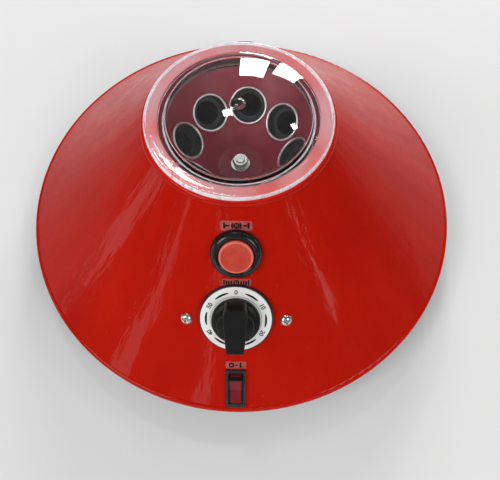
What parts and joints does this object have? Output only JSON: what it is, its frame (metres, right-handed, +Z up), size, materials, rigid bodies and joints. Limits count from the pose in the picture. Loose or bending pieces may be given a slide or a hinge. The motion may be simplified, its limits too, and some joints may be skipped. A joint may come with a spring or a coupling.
{
  "type": "laboratory centrifuge",
  "caption": "Conical bench centrifuge with a clear lift-off lid, a fixed-angle tube rotor, a brake button, a timer knob and a rocker power switch.",
  "frame": {"origin": "on the spin axis, at the level of the feet's undersides", "axes": "+Z up along the spin axis; -Y towards the controls; +X to the right when facing the controls"},
  "size_m": [0.35, 0.3498, 0.1588],
  "materials": {
    "red_gloss": "high gloss red gel coat on glass-fibre",
    "pan_steel": "black powder coat",
    "black_rubber": "matte",
    "plated_steel": "zinc plated",
    "spring_steel": "drawn wire",
    "black_gloss": "glossy black",
    "black_satin": "satin black",
    "black_knob": "semi-gloss black phenolic",
    "button_red": "satin red",
    "rocker_red": "translucent dark red",
    "dial_face": "printed plate",
    "brass": "plain",
    "copper": "copper",
    "carbon": "carbon",
    "lamination_steel": "stacked laminations",
    "motor_aluminium": "cast",
    "motor_paint": "grey enamel",
    "maroon_paint": "semi-gloss maroon enamel",
    "shield_aluminium": "turned and polished rim",
    "adaptor_black": "smooth black",
    "clear_acrylic": "clear polished acrylic"
  },
  "bodies": {
    "housing": {"base_pan": "pan_steel", "rubber_feet": "black_rubber", "foot_screws": "plated_steel", "body_shell": "red_gloss", "shell_screws": "plated_steel", "brake_bezel": "black_gloss", "brake_spring": "spring_steel", "brake_nut": "black_gloss", "brake_contact_block": "black_gloss", "dial_seat": "black_satin", "dial_plate": "dial_face", "timer_bracket": "plated_steel", "timer_case": "black_satin", "timer_screws": "plated_steel", "switch_housing": "black_satin", "switch_terminals": "brass", "gland_body": "black_satin", "gland_cap": "black_satin", "gland_nut": "black_satin", "motor_mounts": "black_rubber", "mount_bolts": "plated_steel", "motor_stand": "plated_steel", "motor_bottom_bell": "motor_aluminium", "motor_can": "motor_paint", "motor_top_bell": "motor_aluminium", "motor_bushes": "brass", "stator_core": "lamination_steel", "field_coils": "copper", "brush_holders": "brass", "carbon_brushes": "carbon", "terminal_block": "dial_face"},
    "rotor": {"motor_shaft": "plated_steel", "armature": "lamination_steel", "commutator": "copper", "rotor_head": "maroon_paint", "rotor_washer": "plated_steel", "rotor_nut": "plated_steel", "tube_cushions": "black_rubber", "tube_shield_1": "shield_aluminium", "tube_shield_2": "shield_aluminium", "tube_shield_3": "shield_aluminium", "tube_shield_4": "shield_aluminium", "tube_shield_5": "shield_aluminium", "tube_shield_6": "shield_aluminium", "tube_shield_7": "shield_aluminium", "tube_shield_8": "shield_aluminium", "tube_adaptor_1": "adaptor_black", "tube_adaptor_2": "adaptor_black", "tube_adaptor_3": "adaptor_black", "tube_adaptor_4": "adaptor_black", "tube_adaptor_5": "adaptor_black", "tube_adaptor_6": "adaptor_black", "tube_adaptor_7": "adaptor_black", "tube_adaptor_8": "adaptor_black"},
    "lid": {"lid": "clear_acrylic"},
    "timer_knob": {"timer_knob": "black_knob", "timer_shaft": "plated_steel"},
    "brake_button": {"brake_button": "button_red"},
    "power_rocker": {"rocker_paddle": "rocker_red"}
  },
  "joints": [
    {"name": "rotor_spin", "type": "hinge", "parent": "housing", "child": "rotor", "pos_m": [0, 0, 0.0865], "axis": [0, 0, 1], "continuous": true},
    {"name": "lid_lift", "type": "slide", "parent": "housing", "child": "lid", "axis": [0, 0, 1], "range_m": [0, 0.12]},
    {"name": "timer_turn", "type": "hinge", "parent": "housing", "child": "timer_knob", "pos_m": [0, -0.1194, 0.08281], "axis": [0, 0.7068, -0.7074], "range_deg": [0, 300]},
    {"name": "brake_press", "type": "slide", "parent": "housing", "child": "brake_button", "axis": [0, 0.7358, -0.6772], "range_m": [0, 0.003], "stiffness_N_per_m": 800, "springref_m": -0.002, "deforming": ["brake_spring"]},
    {"name": "power_rock", "type": "hinge", "parent": "housing", "child": "power_rocker", "pos_m": [0, -0.15932, 0.04347], "axis": [-1, 0, 0], "range_deg": [0, 20]}
  ]
}
